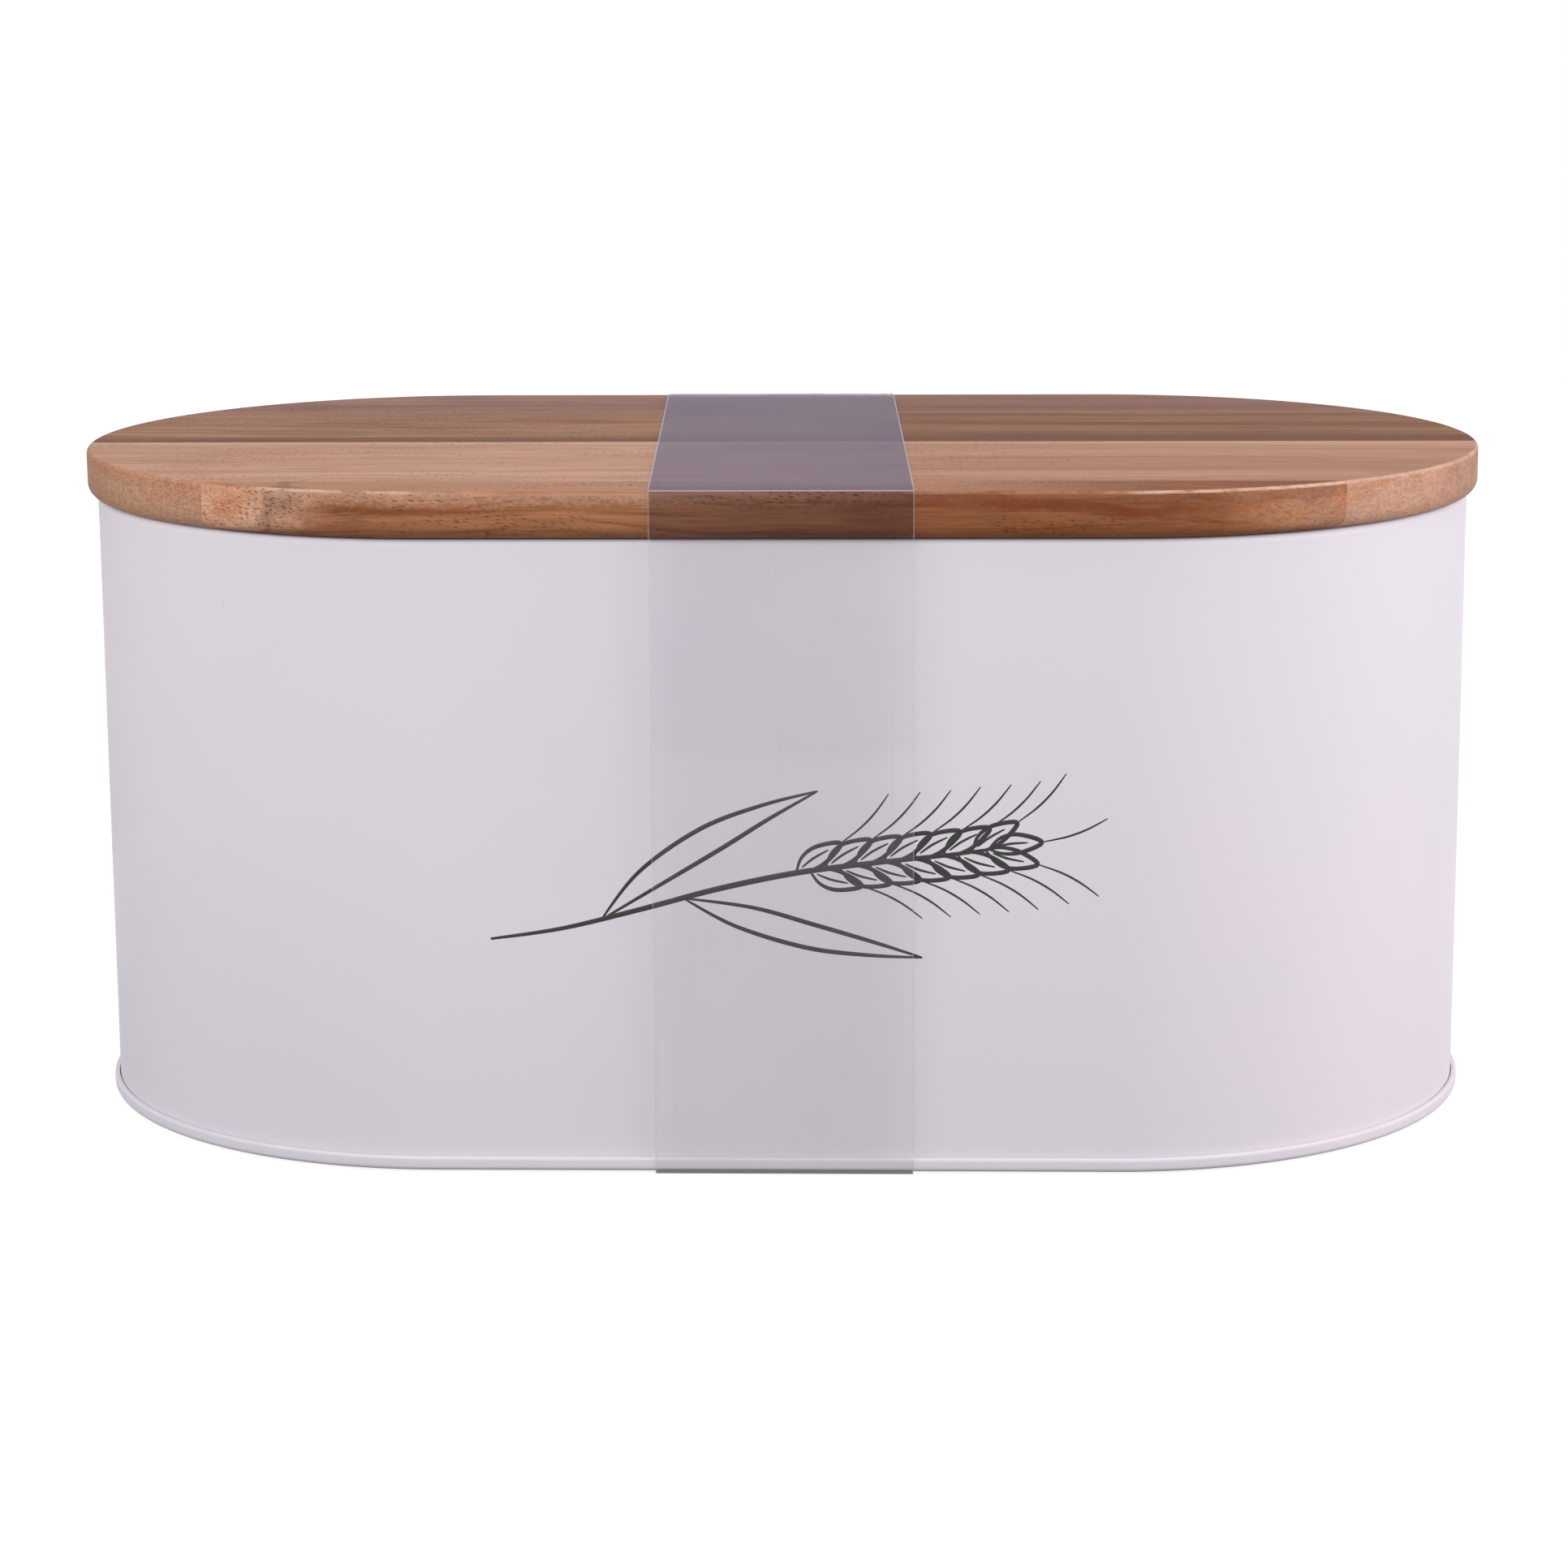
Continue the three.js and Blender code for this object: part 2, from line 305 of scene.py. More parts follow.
def makeWoodFigure(grain, marks):
    group, given, out = newGroup(
        "woodFigure",
        {
            "Seed": 1.0, "Tilt": 0.6, "Band Size": 1.0,
            "Light": srgb(195, 155, 135), "Dark": srgb(160, 120, 100),
            "Vein": srgb(120, 80, 60), "Vein Share": 0.5, "Patch Share": 0.3,
            "Pore": srgb(90, 55, 35), "Pore Share": 0.6,
            "End Tone": srgb(175, 135, 112), "Far End Tone": srgb(175, 135, 112),
            "Blush Tone": srgb(196, 146, 112), "Arris Wear And Highlight Tone": srgb(206, 170, 152), "Arris From": 1.0,
            "Heart Tone": srgb(130, 92, 74), "Heart Share": 0.0, "Heart At": 0.0, "Heart Width": 12 * mm,
            "Far Tone": srgb(130, 80, 50), "Far Share": 0.0,
            "Top Tone": srgb(190, 148, 124), "Top Share": 0.0,
            "Flame Tone": srgb(118, 60, 30), "Flame Share": 0.0,
            "Smudge Tone": srgb(128, 92, 72), "Smudge Share": 0.0, "Smudge At": -115 * mm,
        },
        ("Color", "Roughness", "Height"),
    )
    coords = addNode(group, "ShaderNodeTexCoord").outputs
    alongX, depthY, upZ = splitNode(group, coords["Object"])
    faceX, _, faceUp = splitNode(group, coords["Normal"])
    shift = combineNode(group, *[timesNode(group, given["Seed"], factor) for factor in (0.731, 0.417, 0.219)])
    place = vectorNode(group, "ADD", coords["Object"], shift)

    # the grain wanders a little across and through the board
    wander = noiseNode(group, place, grain["wander"], 3.0, output="Color")
    centred = vectorNode(group, "SUBTRACT", wander, (0.5, 0.5, 0.5))
    swayed = vectorNode(group, "MULTIPLY_ADD", centred, (0.0, 16 * mm, 16 * mm), place)
    swayedX, swayedY, swayedZ = splitNode(group, swayed)

    # yearly layers lie tilted in the board and run along it
    across = timesNode(group, swayedY, mathNode(group, "COSINE", given["Tilt"]))
    through = timesNode(group, swayedZ, mathNode(group, "SINE", given["Tilt"]))
    layer = mathNode(group, "DIVIDE", mathNode(group, "ADD", across, through), given["Band Size"])
    layers = combineNode(group, timesNode(group, swayedX, 3.0), timesNode(group, layer, 100.0), 0.0)
    bands = noiseNode(group, layers, 1.0, 5.0, 0.66)
    veins = noiseNode(group, layers, grain["veins"], 3.0, 0.6, 0.5)
    fibres = noiseNode(group, place, grain["fibres"], 2.0, 0.65)
    patches = noiseNode(group, place, grain["patches"])
    tone = rangeNode(group, bands, 0.36, 0.64)
    colour = blendNode(group, tone, given["Dark"], given["Light"])

    # the tone drifts from one end of a stave to the other
    drift = swayNode(group, bands, 160 * mm, alongX)
    farColour = blendNode(group, tone, given["Far Tone"], given["Dark"])
    colour = layTone(group, colour, farColour, rangeNode(group, drift, *marks["drift"]), given["Far Share"])
    colour = layTone(group, colour, given["Vein"], rangeNode(group, veins, 0.5, 0.64), given["Vein Share"])
    colour = layTone(group, colour, given["Vein"], rangeNode(group, patches, 0.5, 0.66), given["Patch Share"])

    # heartwood along one glue joint
    heart = awayNode(group, swayNode(group, bands, 20 * mm, depthY), given["Heart At"])
    colour = layTone(group, colour, given["Heart Tone"], rangeNode(group, heart, given["Heart Width"], 0.0),
                     given["Heart Share"])

    # flat-sawn on top the wood is paler than on its edge
    colour = layTone(group, colour, given["Top Tone"], rangeNode(group, faceUp, 0.9, 0.99),
                     rangeNode(group, alongX, *marks["paleTop"]), given["Top Share"])

    # on end grain the fibres are cut across: greyer, with lines of the sanding, and a painted shade that
    # darkens it towards the lid's outer tips
    endMask = rangeNode(group, mathNode(group, "ABSOLUTE", faceX), 0.2, 0.44, 0.0, 0.94)
    reachX = mathNode(group, "ABSOLUTE", alongX)
    sanding = noiseNode(group, coords["Object"], grain["sanding"], 2.0, 0.6)
    sandingAndTipShade = timesNode(group, rangeNode(group, sanding, 0.3, 0.7, 0.88, 1.12, False),
                       rangeNode(group, reachX, *marks["tipShade"], 1.0, 0.76))
    endColour = blendNode(group, rangeNode(group, alongX, *marks["otherEnd"]), given["End Tone"],
                          given["Far End Tone"])
    blushes = noiseNode(group, place, grain["blushes"], 3.0)
    warmed = timesNode(group, rangeNode(group, upZ, *marks["blushHigh"], 0.0, 0.9),
                       rangeNode(group, alongX, *marks["blushLeft"]))
    blushMask = mathNode(group, "MAXIMUM", rangeNode(group, blushes, 0.48, 0.66, 0.0, 0.7), warmed)
    endColour = shadeNode(group, blendNode(group, blushMask, endColour, given["Blush Tone"]), sandingAndTipShade)
    colour = blendNode(group, endMask, colour, endColour)

    # a grey cloud that crosses the grain beside a knot
    smudges = noiseNode(group, place, grain["smudges"], 4.0, 0.6)
    awayBy = awayNode(group, swayNode(group, smudges, 40 * mm, alongX), given["Smudge At"])
    colour = layTone(group, colour, given["Smudge Tone"], rangeNode(group, awayBy, 7 * mm, 0.0),
                     given["Smudge Share"])

    # fine fibres and wider threads, and a painted shade that darkens the board towards its lower edge
    threads = noiseNode(group, place, grain["threads"], 2.0, 0.6)
    fibresAndLowerShade = timesNode(group, rangeNode(group, fibres, 0.3, 0.7, 0.82, 1.16, False),
                          rangeNode(group, threads, 0.32, 0.68, 0.93, 1.06, False),
                          rangeNode(group, upZ, *marks["lowerEdgeShade"], 1.0, 0.87))
    colour = shadeNode(group, colour, fibresAndLowerShade)

    # a darker flame slopes down from the arris, and a shade lies under it further on
    waves = noiseNode(group, place, grain["waves"], 3.0, 0.6)
    wavy = swayNode(group, waves, 8 * mm, upZ)
    streak = awayNode(group, mathNode(group, "MULTIPLY_ADD", alongX, 0.075, wavy), 162.1 * mm)
    streakMask = timesNode(group, rangeNode(group, streak, 2.1 * mm, 0.6 * mm),
                           rangeNode(group, alongX, *marks["flameStart"]),
                           rangeNode(group, alongX, *marks["flameEnd"]))
    shade = awayNode(group, alongX, 122 * mm)
    shadeMask = timesNode(group, rangeNode(group, shade, 18 * mm, 8 * mm, 0.0, 0.6),
                          rangeNode(group, wavy, *marks["shadeHigh"]))
    colour = layTone(group, colour, given["Flame Tone"], mathNode(group, "MAXIMUM", streakMask, shadeMask),
                     rangeNode(group, faceUp, 0.6, 0.2), given["Flame Share"])

    # the rounded arris is lighter from sanding and carries a painted highlight, in frayed patches, and the
    # fibres are torn under it
    frayed = noiseNode(group, place, grain["frayed"], 3.0, 0.6)
    arrisWearAndHighlight = timesNode(group, rangeNode(group, faceUp, 0.12, 0.45), rangeNode(group, faceUp, 0.995, 0.9),
                          rangeNode(group, frayed, 0.3, 0.62, 0.25, 0.9),
                          rangeNode(group, reachX, *marks["arrisBright"], 0.25, 1.0),
                          rangeNode(group, alongX, *marks["arrisLeft"], 0.15, 1.0))
    torn = noiseNode(group, place, grain["torn"], 2.0, 0.6)
    below = swayNode(group, torn, 6 * mm, mathNode(group, "SUBTRACT", upZ, given["Arris From"]))
    tornMask = timesNode(group, rangeNode(group, below, -mm, 3 * mm, 0.0, 0.42),
                         rangeNode(group, faceUp, 0.6, 0.3),
                         rangeNode(group, alongX, *marks["tornLeft"], 0.5, 1.0),
                         rangeNode(group, alongX, *marks["tornRight"], 1.0, 0.35))
    colour = layTone(group, colour, given["Arris Wear And Highlight Tone"], mathNode(group, "MAXIMUM", arrisWearAndHighlight, tornMask))

    # pores: short dark dashes along the grain, pin holes on end grain
    slanted = combineNode(group, swayedX, swayedY, mathNode(group, "MULTIPLY_ADD", swayedX, 0.25, swayedZ))
    dashes = cellNode(group, vectorNode(group, "MULTIPLY", slanted, grain["pores"]), 1.0)
    poreZones = mathNode(group, "MULTIPLY_ADD", endMask, 0.2, noiseNode(group, place, grain["poreZones"]))
    reach = rangeNode(group, poreZones, 0.34, 0.62, 0.12, 0.42)
    thinned = addNode(group, "ShaderNodeSeparateColor", dashes["Color"]).outputs[0]
    poreMask = timesNode(group, rangeNode(group, dashes["Distance"], reach, timesNode(group, reach, 0.5)),
                         rangeNode(group, thinned, 0.25, 0.45),
                         rangeNode(group, alongX, *marks["fewPores"], 1.0, 0.45), given["Pore Share"])
    plug(group, blendNode(group, poreMask, colour, given["Pore"]), out["Color"])
    sheen = rangeNode(group, fibres, 0.3, 0.7, 0.52, 0.62)
    plug(group, mathNode(group, "MULTIPLY_ADD", poreMask, 0.2, sheen), out["Roughness"])
    raised = timesNode(group, fibres, 0.35)
    plug(group, mathNode(group, "MULTIPLY_ADD", poreMask, -1.0, raised), out["Height"])
    return group


# sprayed and baked coat, shared by wall, base, seal and print
def makeCoatTexture():
    group, given, out = newGroup(
        "coatTexture",
        {"Cool": srgb(220, 216, 224), "Warm": srgb(226, 217, 222), "Roughness Low": 0.32,
         "Roughness High": 0.42, "Speck Share": 0.35},
        ("Color", "Roughness", "Height"),
    )
    coords = addNode(group, "ShaderNodeTexCoord").outputs["Object"]
    cloud = noiseNode(group, coords, 9.0, 3.0)
    colour = blendNode(group, rangeNode(group, cloud, 0.35, 0.65), given["Cool"], given["Warm"])
    specks = cellNode(group, coords, 55.0)["Distance"]
    colour = layTone(group, colour, srgb(120, 116, 122), given["Speck Share"],
                     rangeNode(group, specks, 0.014, 0.006))
    plug(group, colour, out["Color"])
    peel = noiseNode(group, coords, 620.0)
    grit = noiseNode(group, coords, 2600.0, 1.0)
    plug(group, mathNode(group, "MULTIPLY_ADD", grit, 0.25, peel), out["Height"])
    handled = noiseNode(group, coords, 26.0, 3.0, 0.55)
    plug(group, rangeNode(group, handled, 0.35, 0.65, given["Roughness Low"], given["Roughness High"]),
         out["Roughness"])
    return group


# clear film: faint haze, drawing lines, dust and a painted reflection band
def makeFilmTexture():
    group, given, out = newGroup(
        "filmTexture",
        {"Tint": srgb(150, 145, 165), "Haze": srgb(205, 200, 220), "Rub Share": 0.4,
         "Reflection Band From": 1.0, "Reflection Band Share": 0.0},
        ("Color", "Roughness", "Cloud", "Height"),
    )
    coords = addNode(group, "ShaderNodeTexCoord").outputs["Object"]
    cloud = noiseNode(group, coords, 16.0, 3.0)
    rubbed = noiseNode(group, coords, (900.0, 14.0, 14.0), 2.0, 0.6)
    rubMask = timesNode(group, rangeNode(group, rubbed, 0.62, 0.8), given["Rub Share"])
    dust = cellNode(group, coords, 90.0)["Distance"]
    marks = mathNode(group, "MAXIMUM", rubMask, rangeNode(group, dust, 0.035, 0.015, 0.0, 0.5))
    plug(group, blendNode(group, marks, given["Tint"], given["Haze"]), out["Color"])
    plug(group, rangeNode(group, cloud, 0.3, 0.7, 0.1, 0.2), out["Roughness"])

    # a painted reflection: a faint band on the upper part, with an uneven lower edge
    uneven = mathNode(group, "MULTIPLY_ADD", cloud, 12 * mm, splitNode(group, coords)["Z"])
    aboveReflectionBand = mathNode(group, "SUBTRACT", uneven, given["Reflection Band From"])
    reflectionBandMask = timesNode(group, rangeNode(group, aboveReflectionBand, 0.0, 6 * mm), given["Reflection Band Share"])
    faint = mathNode(group, "ADD", reflectionBandMask, rangeNode(group, cloud, 0.3, 0.7, -0.01, 0.01))
    plug(group, mathNode(group, "MULTIPLY_ADD", marks, 0.08, faint), out["Cloud"])
    plug(group, noiseNode(group, coords, (30.0, 9.0, 9.0)), out["Height"])
    return group


woodFigure = makeWoodFigure(woodGrain, woodMarks)
coatTexture = makeCoatTexture()
filmTexture = makeFilmTexture()
print("bread box: node groups made")


def newMaterial(name, group, textureLook, bumpLook, shaderLook):
    material = bpy.data.materials.new(name)
    material.use_nodes = True
    tree = material.node_tree
    shader = tree.nodes["Principled BSDF"]
    texture = addNode(tree, "ShaderNodeGroup", node_tree=group)
    bump = addNode(tree, "ShaderNodeBump")
    for node, look in ((texture, textureLook), (bump, bumpLook), (shader, shaderLook)):
        for label, value in look.items():
            node.inputs[label].default_value = value
    plug(tree, texture.outputs["Color"], shader.inputs["Base Color"])
    plug(tree, texture.outputs["Roughness"], shader.inputs["Roughness"])
    plug(tree, texture.outputs["Height"], bump.inputs["Height"])
    plug(tree, bump.outputs["Normal"], shader.inputs["Normal"])
    return material, shader, texture


def dress(obj, material):
    obj.data.materials.clear()
    obj.data.materials.append(material)


# wall: one sheet bent round, rim rolled inwards
wallLook = {
    "sheet": 0.6 * mm,
    "rimRadius": 1.8 * mm,
    "roundSteps": 96,
    "rimSteps": 18,
    "seamAt": 2.8 * mm,
    "seamWidth": 0.4 * mm,
    "seamDepth": 0.2 * mm,
    "lapWidth": 6 * mm,
    "lapDepth": 0.6 * mm,
    "lapGap": 0.6 * mm,  # between the lap and the rolled rim
    "lapRise": 0.4 * mm,  # of the lap over the pan
    "lapSoft": 0.25 * mm,
}
coatLook = {"Cool": srgb(221, 218, 225), "Warm": srgb(225, 219, 226)}


def makeWall(look):
    radius, sheet, rim = wallDepth, look["sheet"], look["rimRadius"]
    rimMiddle = rimTop - rim
    outer = arcPoints(radius - rim, rimMiddle, rim, 0, 240, look["rimSteps"])
    inner = arcPoints(radius - rim, rimMiddle, rim - sheet, 240, 0, look["rimSteps"])
    profile = [(radius, wallLow.z)] + outer + inner + [(radius - sheet, wallLow.z), (radius, wallLow.z)]
    obj = sweepRound("wall_sheet", profile, look["roundSteps"])

    # the upright joint at the back: a lap inside and a fine line outside
    deselectAll()
    bpy.ops.mesh.primitive_cube_add(size=1, location=(look["seamAt"], radius, (wallLow.z + rimMiddle) / 2))
    line = bpy.context.object
    line.scale = (look["seamWidth"], 2 * look["seamDepth"], rimMiddle - wallLow.z + 4 * mm)
    fixPlace(line)
    cut = obj.modifiers.new("seamLine", "BOOLEAN")
    cut.operation = "DIFFERENCE"
    cut.solver = "EXACT"
    cut.object = line
    applyModifiers(obj)
    bpy.data.objects.remove(line)
    smoothShade(obj)
    fixPlace(obj)
    return obj


def makeSeamLap(look):
    lapTop = rimTop - 2 * look["rimRadius"] - look["lapGap"]
    lapLow = panHigh.z + look["lapRise"]
    depth = look["lapDepth"] + look["sheet"] / 2
    middle = wallDepth - look["sheet"] / 2 - depth / 2
    deselectAll()
    bpy.ops.mesh.primitive_cube_add(size=1, location=(0, middle, (lapTop + lapLow) / 2))
    obj = bpy.context.object
    obj.name = "wall_seam_lap"
    obj.scale = (look["lapWidth"], depth, lapTop - lapLow)
    fixPlace(obj)
    soften = obj.modifiers.new("softEdges", "BEVEL")
    soften.width = look["lapSoft"]
    soften.segments = 3
    applyModifiers(obj)
    smoothShade(obj, 50)
    return obj


coatWhite = newMaterial(
    "coatWhite", coatTexture, coatLook,
    {"Strength": 0.06, "Distance": 0.05 * mm}, {"IOR": 1.38, "Specular IOR Level": 0.04},
)[0]

wallSheet = makeWall(wallLook)
dress(wallSheet, coatWhite)
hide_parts("body_wall")
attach(wallSheet, "box")

seamLap = makeSeamLap(wallLook)
dress(seamLap, coatWhite)
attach(seamLap, "box")
print("bread box: wall made")


# base pan: recessed panel and the seamed bead
baseLook = {
    "proud": 1.4 * mm,
    "beadRound": 0.7 * mm,
    "beadUnder": 1.2 * mm,
    "channelFloor": 0.8 * mm,
    "gap": 0.25 * mm,
    "leg": 1.0 * mm,
    "panel": 0.8 * mm,
    "panelSlope": 0.4 * mm,
    "legChamfer": 0.3 * mm,
    "roundSteps": 96,
    "beadSteps": 8,
}


def makeBase(look):
    foot, top, bend, under = beadFoot, panHigh.z, look["beadRound"], look["beadUnder"]
    legFace = wallDepth - wallLook["sheet"] - look["gap"]
    beadMiddle = wallDepth + look["proud"] - bend
    panelUnder, legBack = top - look["panel"], legFace - look["leg"]
    profile = [
        (0, panelUnder),
        (legBack - look["panelSlope"], panelUnder),
        (legBack, panelUnder - look["panelSlope"]),
        (legBack, foot + look["legChamfer"]),
        (legBack + look["legChamfer"], foot),
    ]
    profile += arcPoints(beadMiddle + bend - under, foot + under, under, 270, 360, look["beadSteps"])
    profile += arcPoints(beadMiddle, top - bend, bend, 0, 90, look["beadSteps"])
    profile += [
        (wallDepth + look["gap"], top),
        (wallDepth + look["gap"], foot + look["channelFloor"]),
        (legFace, foot + look["channelFloor"]),
        (legFace, top),
        (0, top),
    ]
    obj = sweepRound("base_seamed", profile, look["roundSteps"])
    smoothShade(obj, 30)
    fixPlace(obj)
    return obj


baseSeamed = makeBase(baseLook)
dress(baseSeamed, coatWhite)
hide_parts("base_pan")
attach(baseSeamed, "box")
print("bread box: base made")


# lid: one board, parted at its glue joints
lidLook = {
    "topRound": 1.0 * mm,
    "bottomRound": 3.0 * mm,
    "plugInset": 4.8 * mm,
    "plugDepth": 7.0 * mm,
    "plugChamfer": 1.0 * mm,
    "sealDrop": 2.2 * mm,
    "grooveHalf": 1.3 * mm,
    "grooveDepth": 2.0 * mm,
    "roundSteps": 96,
    "bottomSteps": 12,
    "topSteps": 6,
}
staveLooks = {
    "lid_stave_1": {
        "name": "stave_orange", "slot": "wood_orange", "Seed": 3.0, "Tilt": 1.25, "Band Size": 0.55,
        "Light": srgb(170, 116, 82), "Dark": srgb(140, 90, 58), "Vein": srgb(112, 62, 36),
        "Pore": srgb(92, 54, 34), "End Tone": srgb(218, 172, 142), "Far End Tone": srgb(178, 130, 102),
        "Blush Tone": srgb(190, 126, 84), "Arris Wear And Highlight Tone": srgb(220, 180, 158), "Arris From": 157.2 * mm,
        "Far Tone": srgb(134, 78, 46), "Far Share": 0.85,
        "Vein Share": 0.55, "Patch Share": 0.4, "Pore Share": 0.9,
        "Top Tone": srgb(188, 139, 112), "Top Share": 0.75, "Flame Share": 0.8,
        "Smudge At": -111 * mm, "Smudge Share": 0.7,
    },
    "lid_stave_2": {
        "name": "stave_pale", "slot": "wood_pale", "Seed": 11.0, "Tilt": 0.5, "Band Size": 0.7,
        "Light": srgb(206, 162, 138), "Dark": srgb(188, 142, 116), "Vein": srgb(158, 110, 84),
        "Pore": srgb(118, 76, 54), "End Tone": srgb(184, 142, 115), "Far End Tone": srgb(196, 153, 130),
        "Blush Tone": srgb(184, 132, 100), "Arris Wear And Highlight Tone": srgb(204, 168, 150),
        "Far Tone": srgb(162, 114, 90), "Far Share": 0.9,
        "Vein Share": 0.35, "Patch Share": 0.15, "Pore Share": 0.6,
        "Heart Tone": srgb(214, 174, 152), "Heart Share": 0.5, "Heart Width": 11 * mm,
        "Heart At": boardHigh.y,  # this stave has it along its back joint
    },
    "lid_stave_3": {
        "name": "stave_olive", "slot": "wood_olive", "Seed": 23.0, "Tilt": 0.9, "Band Size": 0.8,
        "Light": srgb(174, 127, 98), "Dark": srgb(146, 102, 75), "Vein": srgb(112, 72, 50),
        "Pore": srgb(82, 50, 34), "End Tone": srgb(146, 106, 84), "Far End Tone": srgb(146, 104, 82),
        "Blush Tone": srgb(150, 104, 76), "Arris Wear And Highlight Tone": srgb(150, 108, 86),
        "Far Tone": srgb(112, 66, 36), "Far Share": 0.95,
        "Vein Share": 0.55, "Patch Share": 0.3, "Pore Share": 0.6,
        "Heart Tone": srgb(100, 54, 36), "Heart Share": 0.95, "Heart Width": 15 * mm,
    },
    "lid_stave_4": {
        "name": "stave_mauve", "slot": "wood_mauve", "Seed": 37.0, "Tilt": 0.4, "Band Size": 1.1,
        "Light": srgb(154, 110, 94), "Dark": srgb(132, 90, 74), "Vein": srgb(106, 68, 56),
        "Pore": srgb(84, 52, 42), "End Tone": srgb(144, 104, 88), "Far End Tone": srgb(144, 104, 86),
        "Blush Tone": srgb(150, 106, 84), "Arris Wear And Highlight Tone": srgb(156, 115, 98),
        "Far Tone": srgb(122, 76, 58), "Far Share": 0.85,
        "Vein Share": 0.45, "Patch Share": 0.3, "Pore Share": 0.6,
        "Heart Tone": srgb(160, 118, 100), "Heart Share": 0.6, "Heart Width": 9 * mm,
    },
}


def makeBoard(look):
    radius = lidReach
    foot = lidUnder - look["plugDepth"]
    plugEdge = wallDepth - look["plugInset"]
    grooveMiddle = lidUnder - look["sealDrop"]
    half = look["grooveHalf"]
    profile = [
        (0, foot),
        (plugEdge - look["plugChamfer"], foot),
        (plugEdge, foot + look["plugChamfer"]),
        (plugEdge, grooveMiddle - half),
        (plugEdge - look["grooveDepth"], grooveMiddle - half),
        (plugEdge - look["grooveDepth"], grooveMiddle + half),
        (plugEdge, grooveMiddle + half),
        (plugEdge, lidUnder),
    ]
    low, top = look["bottomRound"], look["topRound"]
    profile += arcPoints(radius - low, lidUnder + low, low, 270, 360, look["bottomSteps"])
    profile += arcPoints(radius - top, lidTop - top, top, 0, 90, look["topSteps"])
    profile += [(0, lidTop)]
    return sweepRound("lid_board", profile, look["roundSteps"])


def cutStave(board, node, look):
    low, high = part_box(node)
    obj = board.copy()
    obj.data = board.data.copy()
    obj.name = look["name"]
    obj.data.name = look["name"]
    scene.collection.objects.link(obj)
    for edge, keepFar in ((low.y, True), (high.y, False)):
        if abs(abs(edge) - lidReach) < 0.05 * mm:
            continue  # the board's own edge
        workOn(obj)
        bpy.ops.object.mode_set(mode="EDIT")
        bpy.ops.mesh.select_all(action="SELECT")
        bpy.ops.mesh.bisect(
            plane_co=(0, edge, 0), plane_no=(0, 1, 0), use_fill=True,
            clear_inner=keepFar, clear_outer=not keepFar,
        )
        bpy.ops.object.mode_set(mode="OBJECT")
    cleanMesh(obj)
    smoothShade(obj, 30)
    return obj


lidBoard = makeBoard(lidLook)
for node, look in staveLooks.items():
    stave = cutStave(lidBoard, node, look)
    figure = {key: value for key, value in look.items() if key not in ("name", "slot")}
    if "Heart Share" in figure:
        figure.setdefault("Heart At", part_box(node)[0].y)  # along the front joint
    staveWood = newMaterial(
        look["name"], woodFigure, figure,
        {"Strength": 0.35, "Distance": 0.06 * mm}, {"IOR": 1.45, "Specular IOR Level": 0.1},
    )[0]
    dress(stave, staveWood)
    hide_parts(node)
    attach(stave, "lid")
bpy.data.objects.remove(lidBoard)
print("bread box: lid staves made")


# seal in the plug's groove
sealLook = {
    "height": 2.0 * mm,
    "noseGap": 0.3 * mm,  # to the rolled rim
    "backGap": 0.3 * mm,  # to the groove's floor
    "roundSteps": 96,
    "noseSteps": 12,
}
siliconeLook = {
    "Cool": srgb(210, 207, 203), "Warm": srgb(222, 220, 216), "Roughness Low": 0.5, "Roughness High": 0.62,
}


def makeSeal(look):
    bend = look["height"] / 2
    middle = lidUnder - lidLook["sealDrop"]
    back = wallDepth - lidLook["plugInset"] - lidLook["grooveDepth"] + look["backGap"]
    nose = wallDepth - 2 * wallLook["rimRadius"] - look["noseGap"] - bend
    profile = [(back, middle - bend)] + arcPoints(nose, middle, bend, -90, 90, look["noseSteps"])
    profile += [(back, middle + bend), (back, middle - bend)]
    obj = sweepRound("seal_ring", profile, look["roundSteps"])
    smoothShade(obj, 40)
    fixPlace(obj)
    return obj


siliconeSoft = newMaterial(
    "siliconeSoft", coatTexture, siliconeLook,
    {"Strength": 0.05, "Distance": 0.05 * mm},
    {"Subsurface Weight": 0.2, "Subsurface Radius": (2 * mm, 2 * mm, 1.8 * mm), "Subsurface Scale": 1.0},
)[0]
sealRing = makeSeal(sealLook)
dress(sealRing, siliconeSoft)
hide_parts("lid_seal")
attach(sealRing, "lid")
print("bread box: seal made")


# clear film band, in two halves that meet under the lid's edge
filmLook = {
    "width": 60 * mm,
    "edge": 0.25 * mm,  # the strip along each cut edge that carries a painted highlight
    "thick": 0.2 * mm,
    "lift": 0.1 * mm,  # between the film's inner face and what it wraps
    "bend": 0.9 * mm,
    "bendSteps": 8,
    "skew": 0.028,  # sideways for each step from front to back
    "slit": 0.03 * mm,
    "rowStep": 8 * mm,
    "wave": 0.22 * mm,  # how far its edges stray, and how slowly up and across
    "waveUp": 17 * mm,
    "waveAcross": 30 * mm,
}
